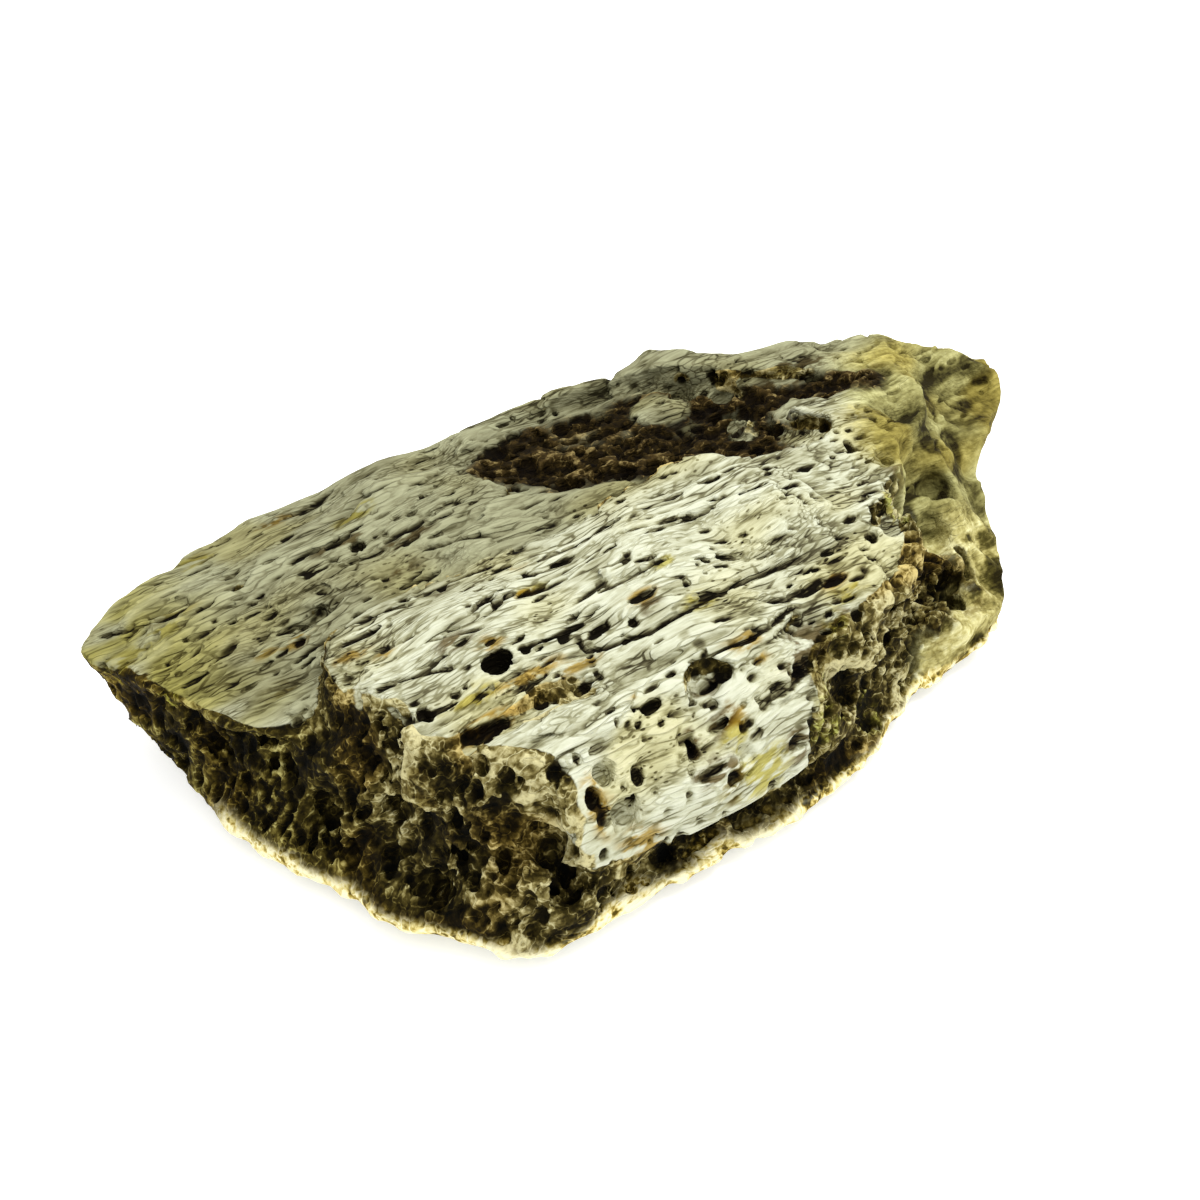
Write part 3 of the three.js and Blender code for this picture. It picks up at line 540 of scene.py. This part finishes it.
# The stains that the photo shows, each with its middle, length and width in the photo's pixels.
OCHRE_STAINS = [
    (277, 521, 40, 9), (270, 650, 30, 9), (295, 644, 26, 8), (352, 655, 30, 9), (382, 654, 16, 7),
    (642, 596, 28, 10),
    (490, 642, 22, 10), (530, 673, 60, 11), (490, 719, 52, 13), (573, 667, 28, 7), (630, 697, 14, 6),
    (594, 801, 18, 20), (604, 816, 18, 12), (640, 850, 40, 10), (745, 640, 30, 12), (760, 652, 12, 8),
    (518, 566, 12, 8), (834, 578, 26, 10), (590, 660, 24, 6),
    (735, 712, 24, 9), (700, 850, 50, 7), (725, 830, 40, 7), (520, 596, 40, 8),
]
OLIVE_STAINS = [
    (352, 516, 40, 14), (190, 563, 28, 14), (150, 640, 70, 10), (120, 660, 34, 20), (474, 698, 46, 11),
    (664, 561, 26, 9), (848, 593, 38, 9), (735, 730, 24, 9), (530, 590, 30, 8), (835, 625, 20, 16),
    (830, 710, 60, 40), (920, 665, 60, 14), (870, 710, 40, 20), (200, 560, 24, 10), (170, 690, 30, 12),
    (760, 770, 70, 9), (700, 600, 30, 10), (895, 510, 14, 26), (950, 520, 50, 16),
]
BROWN_STAINS = [
    (815, 650, 60, 34), (800, 668, 34, 10), (405, 572, 34, 12), (340, 545, 60, 10), (412, 535, 60, 12),
    (172, 613, 44, 12), (130, 628, 60, 7), (455, 640, 30, 14), (845, 622, 26, 14), (708, 690, 30, 8),
    (722, 725, 30, 8), (800, 740, 26, 8), (280, 690, 36, 14), (900, 465, 30, 16), (968, 570, 20, 50),
    (696, 750, 8, 30), (790, 375, 110, 18), (855, 375, 80, 14), (422, 795, 18, 34), (935, 575, 44, 70),
    (915, 610, 50, 50), (955, 600, 40, 40), (735, 778, 20, 14), (712, 772, 34, 10), (440, 590, 20, 6),
    (650, 605, 20, 8),
]
STAIN_DEPTH_MM = 2.5


def stained(stains):
    """How strongly each vertex is stained, 1 in the middle of a stain and 0 beyond it."""
    strength = np.zeros(len(flesh))
    for px, py, length_px, width_px in stains:
        middle = seen_at(px, py)
        if middle is not None:
            along, across, deep = (flesh - middle).T
            away = (2 * along * PX_PER_MM_ALONG / length_px) ** 2
            away = away + (2 * across * PX_PER_MM_ACROSS / width_px) ** 2
            strength = np.maximum(strength, ramp(1.5 - away - (deep / STAIN_DEPTH_MM) ** 2, 0, 1))
    return strength


mark("ochre", stained(OCHRE_STAINS))
mark("olive", stained(OLIVE_STAINS))
mark("brown", stained(BROWN_STAINS))

material = bpy.data.materials.new("fossil_bone")
material.use_nodes = True
tree = material.node_tree
shader = tree.nodes["Principled BSDF"]


def node(kind, **settings):
    made = tree.nodes.new(kind)
    for name, value in settings.items():
        setattr(made, name, value)
    return made


def feed(socket, value):
    if isinstance(value, bpy.types.NodeSocket):
        tree.links.new(value, socket)
    else:
        socket.default_value = value


def attribute(name):
    return node("ShaderNodeAttribute", attribute_name=name).outputs["Fac"]


def combine(operation, a, b=0.0):
    made = node("ShaderNodeMath", operation=operation)
    feed(made.inputs[0], a)
    feed(made.inputs[1], b)
    return made.outputs[0]


def between(value, start, end):
    """0 where the value is at start, 1 where it is at end."""
    made = node("ShaderNodeMapRange", clamp=True, interpolation_type="SMOOTHSTEP")
    feed(made.inputs["Value"], value)
    made.inputs["From Min"].default_value = start
    made.inputs["From Max"].default_value = end
    return made.outputs["Result"]


def mixed(share, first, second):
    made = node("ShaderNodeMix", data_type="RGBA")
    feed(made.inputs["Factor"], share)
    feed(made.inputs[6], first)
    feed(made.inputs[7], second)
    return made.outputs[2]


def graded(value, *stops):
    """A colour that runs through the stops, each a place from 0 to 1 and its colour."""
    made = node("ShaderNodeValToRGB")
    feed(made.inputs["Fac"], value)
    elements = made.color_ramp.elements
    for element, (place, colour) in zip(elements, (stops[0], stops[-1])):
        element.position = place
        element.color = (*colour, 1)
    for place, colour in stops[1:-1]:
        elements.new(place).color = (*colour, 1)
    return made.outputs["Color"]


def moved_by_noise(place, scale_per_mm, reach_mm, detail=0.0):
    """The place on the bone, pushed about by smooth noise."""
    pushes = node("ShaderNodeTexNoise")
    feed(pushes.inputs["Vector"], place)
    pushes.inputs["Scale"].default_value = scale_per_mm / MM
    pushes.inputs["Detail"].default_value = detail
    sized = node("ShaderNodeVectorMath", operation="SCALE")
    feed(sized.inputs[0], pushes.outputs["Color"])
    sized.inputs["Scale"].default_value = reach_mm * MM
    total = node("ShaderNodeVectorMath", operation="ADD")
    feed(total.inputs[0], place)
    feed(total.inputs[1], sized.outputs[0])
    return total.outputs[0]


waved = moved_by_noise(node("ShaderNodeTexCoord").outputs["Object"], 0.12, 2.2)
frayed = moved_by_noise(waved, 0.9, 0.3)


def stretched(place, length_mm, width_mm):
    """The place counted in cells of this length along the grain and this width across it."""
    made = node("ShaderNodeVectorMath", operation="MULTIPLY")
    feed(made.inputs[0], place)
    made.inputs[1].default_value = (1 / (length_mm * MM), 1 / (width_mm * MM), 1 / (width_mm * MM))
    return made.outputs[0]


def speckle(length_mm, width_mm, detail=2.0):
    made = node("ShaderNodeTexNoise")
    feed(made.inputs["Vector"], stretched(waved, length_mm, width_mm))
    made.inputs["Scale"].default_value = 0.7
    made.inputs["Detail"].default_value = detail
    return made.outputs["Fac"]


def cells(length_mm, width_mm, feature, output="Distance", place=frayed):
    made = node("ShaderNodeTexVoronoi", feature=feature)
    feed(made.inputs["Vector"], stretched(place, length_mm, width_mm))
    made.inputs["Scale"].default_value = 1.0
    return made.outputs[output]


def tinted(share, colour, tint):
    """The colour multiplied by the tint, by a share of 0 to 1."""
    made = node("ShaderNodeMix", data_type="RGBA", blend_type="MULTIPLY")
    feed(made.inputs["Factor"], share)
    feed(made.inputs[6], colour)
    made.inputs[7].default_value = (*tint, 1)
    return made.outputs[2]


def weighed(*terms):
    """The sum of pairs of a value and its weight."""
    total = 0.0
    for value, weight in terms:
        total = combine("ADD", total, combine("MULTIPLY", value, weight))
    return total


# How light each spot is, from 0 to 1, on the skin and on the breaks: by its height, the patches of tone
# and the fine grain or grit. The height and the depth in the pores are painted shade in hollows and pores
# and painted highlights on crests. The colours further on are ramps over these.
height = attribute("height")
busy = attribute("busy")
warm = attribute("warm")
long_lines = combine(
    "MULTIPLY", between(cells(3.6, 0.55, "DISTANCE_TO_EDGE"), 0.12, 0.03), between(busy, 0.45, 0.57))
short_lines = combine(
    "MULTIPLY", between(cells(1.7, 0.3, "DISTANCE_TO_EDGE"), 0.18, 0.05), between(busy, 0.51, 0.39))
pits = combine("MULTIPLY", between(cells(0.9, 0.42, "F1"), 0.27, 0.15), between(warm, 0.5, 0.62))
fibre = speckle(1.3, 0.2, 3.0)
cloud = attribute("cloud")
# Painted light: the facet term makes the bent front a little lighter, as if it faced the lamp.
skin_level = weighed(
    (height, 0.3), (fibre, 0.55), (cloud, 0.4), (long_lines, -0.22), (short_lines, -0.16), (pits, -0.25),
    (attribute("pore"), -0.35), (attribute("facet"), 0.1), (attribute("duller"), -0.05), (1.0, -0.1))
grit = speckle(0.3, 0.3, 4.0)
torn = moved_by_noise(frayed, 1.3, 0.5, 1.0)
flake_tone = node("ShaderNodeSeparateColor")
feed(flake_tone.inputs["Color"], cells(0.62, 0.5, "F1", "Color", torn))
curls = between(combine("ABSOLUTE", combine("SUBTRACT", speckle(1.0, 0.8), 0.5)), 0.04, 0.0)
lumps = attribute("lumps")
break_level = weighed(
    (height, 0.5), (flake_tone.outputs["Red"], 0.2), (grit, 0.75), (lumps, 0.65), (curls, 0.2), (1.0, -0.65))

slab_colour = graded(
    skin_level, (0.02, (0.004, 0.003, 0.001)), (0.14, (0.025, 0.021, 0.009)), (0.26, (0.10, 0.092, 0.048)),
    (0.36, (0.20, 0.195, 0.11)), (0.48, (0.34, 0.34, 0.23)), (0.62, (0.44, 0.45, 0.33)),
    (0.9, (0.56, 0.57, 0.46)))
shelf_colour = graded(
    skin_level, (0.02, (0.004, 0.003, 0.001)), (0.14, (0.018, 0.016, 0.006)), (0.26, (0.065, 0.06, 0.028)),
    (0.36, (0.11, 0.105, 0.055)), (0.48, (0.17, 0.165, 0.092)), (0.62, (0.22, 0.22, 0.125)),
    (0.9, (0.30, 0.30, 0.18)))
shelf_share = combine("MULTIPLY", attribute("shelf"), 0.92)
skin_colour = mixed(shelf_share, slab_colour, shelf_colour)
skin_colour = tinted(between(warm, 0.5, 0.7), skin_colour, (0.95, 0.9, 0.7))
frayed_grain = speckle(1.1, 0.5, 3.0)
ragged = between(frayed_grain, 0.4, 0.56)


def stain(name, strength):
    return combine("MULTIPLY", combine("MULTIPLY", attribute(name), ragged), strength)


skin_colour = tinted(stain("olive", 0.95), skin_colour, (0.75, 0.66, 0.22))
skin_colour = tinted(stain("brown", 0.95), skin_colour, (0.22, 0.16, 0.08))
skin_colour = tinted(stain("ochre", 0.95), skin_colour, (0.62, 0.42, 0.12))
tip_colour = graded(
    skin_level, (0.05, (0.005, 0.004, 0.001)), (0.25, (0.06, 0.05, 0.010)), (0.5, (0.17, 0.155, 0.04)),
    (0.7, (0.26, 0.235, 0.065)), (0.9, (0.46, 0.43, 0.16)))
tip_share = combine("MULTIPLY", attribute("tip"), between(busy, 0.35, 0.6))
skin_colour = mixed(tip_share, skin_colour, tip_colour)

paler = attribute("paler")
sponge_level = weighed(
    (break_level, 1.0), (paler, 0.155), (attribute("gully"), -0.1), (lumps, 0.3), (1.0, -0.15))
sponge_colour = graded(
    sponge_level, (0.1, (0.001, 0.001, 0.0003)), (0.33, (0.007, 0.005, 0.0008)),
    (0.47, (0.024, 0.018, 0.003)), (0.58, (0.062, 0.047, 0.011)), (0.70, (0.17, 0.14, 0.048)),
    (0.9, (0.46, 0.42, 0.22)))
sponge_colour = tinted(between(warm, 0.5, 0.64), sponge_colour, (1.0, 0.87, 0.62))
sponge_colour = tinted(stain("olive", 1.0), sponge_colour, (0.9, 1.0, 0.5))
sponge_colour = tinted(stain("ochre", 0.8), sponge_colour, (0.85, 0.7, 0.4))
sponge_colour = tinted(stain("brown", 1.0), sponge_colour, (0.45, 0.4, 0.24))
sponge_colour = tinted(attribute("darker"), sponge_colour, (0.8, 0.78, 0.5))
fill_colour = graded(
    break_level, (0.1, (0.002, 0.001, 0.0002)), (0.35, (0.006, 0.0035, 0.0006)),
    (0.5, (0.013, 0.008, 0.0012)), (0.7, (0.04, 0.025, 0.006)), (0.95, (0.2, 0.15, 0.055)))
soft_spots = between(attribute("spots"), 0.45, 0.33)
# The height term here too is painted shade in hollows and painted highlights on crests.
lobe_level = weighed(
    (height, 0.35), (fibre, 0.35), (grit, 0.5), (cloud, 0.6), (soft_spots, -0.36), (1.0, -0.355))
lobe_colour = graded(
    lobe_level, (0.1, (0.015, 0.012, 0.003)), (0.3, (0.07, 0.062, 0.017)), (0.5, (0.17, 0.155, 0.052)),
    (0.65, (0.25, 0.235, 0.09)), (0.9, (0.42, 0.40, 0.18)))
lobe_colour = tinted(between(warm, 0.48, 0.62), lobe_colour, (0.85, 0.75, 0.45))
olive_end = attribute("olive_end")
lobe_colour = tinted(between(olive_end, 0.95, 0.5), lobe_colour, (1.5, 1.55, 1.75))
# Partly painted light: the foot of the right end is yellow and is painted brighter than the rest of the lobe,
# as if lit from the pale floor.
yellow_and_lit_colour = graded(
    combine("ADD", lobe_level, 0.05), (0.15, (0.012, 0.009, 0.001)), (0.35, (0.06, 0.05, 0.01)),
    (0.5, (0.20, 0.17, 0.05)), (0.65, (0.38, 0.34, 0.13)), (0.9, (0.66, 0.63, 0.34)))
lobe_colour = mixed(attribute("yellow_and_lit_end"), lobe_colour, yellow_and_lit_colour)
lobe_colour = tinted(stain("brown", 0.8), lobe_colour, (0.3, 0.25, 0.12))
skin_colour = mixed(between(olive_end, 0.1, 0.8), skin_colour, lobe_colour)
# Painted highlight: the band along the lowest edge is painted bright cream, as if lit from the pale floor
# beneath, over the grain of the break.
lit_rim_colour = graded(
    weighed((break_level, 1.35), (1.0, 0.06)), (0.15, (0.01, 0.007, 0.001)),
    (0.38, (0.09, 0.062, 0.008)), (0.52, (0.34, 0.25, 0.05)), (0.64, (0.62, 0.52, 0.20)),
    (0.9, (0.84, 0.78, 0.50)))
ragged_edge = weighed((attribute("spongy"), 1.0), (frayed_grain, 0.7), (1.0, -0.35))
colour = mixed(between(ragged_edge, 0.35, 0.65), skin_colour, sponge_colour)
colour = mixed(attribute("lobe"), colour, lobe_colour)
colour = mixed(attribute("lit_rim"), colour, lit_rim_colour)
colour = mixed(attribute("fill"), colour, fill_colour)
feed(shader.inputs["Base Color"], colour)
shader.inputs["Roughness"].default_value = 0.85
shader.inputs["Specular IOR Level"].default_value = 0.05
bump = node("ShaderNodeBump")
bump.inputs["Distance"].default_value = 0.3 * MM
bump.inputs["Strength"].default_value = 0.9
fine_grain = weighed((fibre, 0.6), (long_lines, -0.25), (short_lines, -0.18))
fine_grit = weighed((grit, 0.8), (curls, 0.25))
feed(bump.inputs["Height"], mixed(attribute("spongy"), fine_grain, fine_grit))
feed(shader.inputs["Normal"], bump.outputs["Normal"])
mesh.materials.append(material)
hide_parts("bone_fragment")
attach(bone, "root")

# The stage: a plain pale surface, a bright even sky and one soft lamp overhead on the front right, as
# the photo has hardly any shadow.
FLOOR_HALF = 1.5
floor_mesh = bpy.data.meshes.new("floor")
floor_corners = [(x * FLOOR_HALF, y * FLOOR_HALF, 0) for x, y in ((-1, -1), (1, -1), (1, 1), (-1, 1))]
floor_mesh.from_pydata(floor_corners, [], [(0, 1, 2, 3)])
floor = bpy.data.objects.new("floor", floor_mesh)
bpy.context.scene.collection.objects.link(floor)
floor_material = bpy.data.materials.new("floor")
floor_material.use_nodes = True
floor_shader = floor_material.node_tree.nodes["Principled BSDF"]
floor_shader.inputs["Base Color"].default_value = (0.88, 0.88, 0.87, 1)
floor_shader.inputs["Roughness"].default_value = 0.9
floor_shader.inputs["Emission Color"].default_value = (1, 1, 1, 1)
floor_shader.inputs["Emission Strength"].default_value = 0.4  # the photo's surface is blown out to white
floor_mesh.materials.append(floor_material)

sky = bpy.data.worlds.new("sky")
sky.use_nodes = True
sky.node_tree.nodes["Background"].inputs["Color"].default_value = (1, 1, 1, 1)
sky.node_tree.nodes["Background"].inputs["Strength"].default_value = 1.25
bpy.context.scene.world = sky

lamp = bpy.data.objects.new("lamp", bpy.data.lights.new("lamp", "AREA"))
lamp.data.size = 0.16
lamp.data.energy = 1.0
lamp.location = Vector((0.07, -0.03, 0.32))
lamp.rotation_euler = lamp.location.to_track_quat("Z", "Y").to_euler()
bpy.context.scene.collection.objects.link(lamp)
bpy.context.scene.view_settings.view_transform = "Standard"
